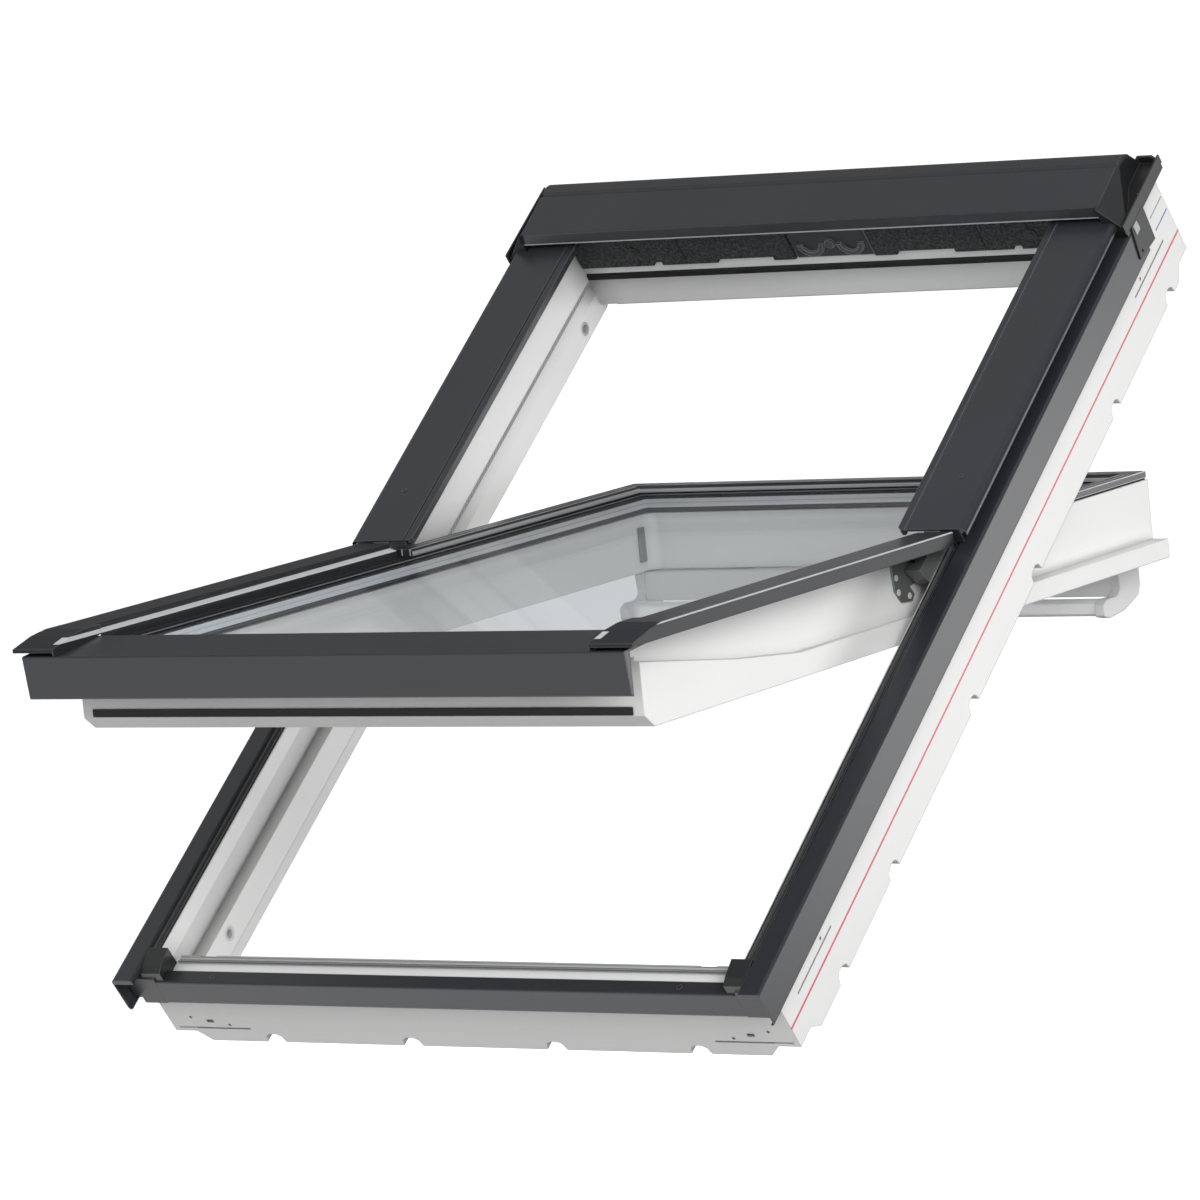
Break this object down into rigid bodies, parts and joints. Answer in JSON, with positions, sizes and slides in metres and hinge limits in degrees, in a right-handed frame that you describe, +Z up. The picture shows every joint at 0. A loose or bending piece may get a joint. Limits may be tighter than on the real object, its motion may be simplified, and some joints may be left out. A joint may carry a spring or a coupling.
{
  "type": "roof skylight",
  "caption": "Centre-pivot roof window with a white moulded frame, charcoal cladding and a double-glazed sash.",
  "frame": {"origin": "middle of the lower outer face of the frame at the installation line", "axes": "+Z up, +X to the right seen from outside, +Y level into the building; the roof slopes at 45 degrees"},
  "size_m": [0.808, 1.1363, 0.9415],
  "materials": {
    "white_moulding": "satin white moulding",
    "cladding": "charcoal powder coat, satin",
    "dark_plastic": "black moulded plastic",
    "filter_foam": "dark textured filter strip",
    "rubber": "black rubber",
    "grey_rubber": "light grey rubber",
    "zinc": "dull zinc",
    "bright_steel": "bright steel",
    "glass": "clear float glass with a faint blue-green tint",
    "bush_plastic": "grey plastic",
    "flap_white": "light grey-white moulding",
    "bar_metal": "satin anodised"
  },
  "bodies": {
    "frame_body": {"air_filter_left": "filter_foam", "air_filter_right": "filter_foam", "bolt_bush_lower": "bush_plastic", "bolt_bush_upper": "bush_plastic", "cap_screws": "bright_steel", "corner_piece_left": "dark_plastic", "corner_piece_right": "dark_plastic", "cover_screws": "cladding", "filter_bosses": "dark_plastic", "frame": "white_moulding", "head_gasket": "rubber", "hinge_case_left": "zinc", "hinge_case_right": "zinc", "hood": "cladding", "hood_end_cap_left": "dark_plastic", "hood_end_cap_right": "dark_plastic", "inner_trim_left": "cladding", "inner_trim_right": "cladding", "jamb_gasket_left": "grey_rubber", "jamb_gasket_right": "grey_rubber", "plate_pad_left": "bush_plastic", "plate_pad_right": "bush_plastic", "side_cladding_left": "cladding", "side_cladding_right": "cladding", "side_plate_left": "dark_plastic", "side_plate_right": "dark_plastic", "sill_cladding": "cladding", "sill_gasket": "grey_rubber", "sill_screws": "cladding", "striker": "dark_plastic", "upper_cover_left": "cladding", "upper_cover_right": "cladding", "weather_rail_left": "rubber", "weather_rail_right": "rubber"},
    "sash_body": {"sash": "white_moulding", "outer_pane": "glass", "inner_pane": "glass", "spacer": "bright_steel", "edge_seal": "rubber", "glazing_gasket": "rubber", "bottom_gasket": "rubber", "top_profile": "cladding", "bottom_cover": "cladding", "side_cover_left": "cladding", "side_cover_right": "cladding", "hinge_arm_left": "zinc", "hinge_arm_right": "zinc", "hinge_rivets": "zinc", "lock_case": "dark_plastic", "bolt_plate": "zinc", "flap_lugs": "zinc"},
    "flap_body": {"vent_flap": "flap_white", "bar_bracket_left": "flap_white", "bar_bracket_right": "flap_white", "control_bar": "bar_metal"},
    "bolt_body": {"barrel_bolt": "bright_steel"}
  },
  "joints": [
    {"name": "sash_pivot", "type": "hinge", "parent": "frame_body", "child": "sash_body", "pos_m": [0, 0.35073, 0.49992], "axis": [-1, 0, 0], "range_deg": [-36, 121]},
    {"name": "flap_hinge", "type": "hinge", "parent": "sash_body", "child": "flap_body", "pos_m": [0, 0.85887, 0.46549], "axis": [1, 0, 0], "range_deg": [0, 45]},
    {"name": "bolt_slide", "type": "slide", "parent": "sash_body", "child": "bolt_body", "axis": [-1, 0, 0], "range_m": [0, 0.01]}
  ]
}
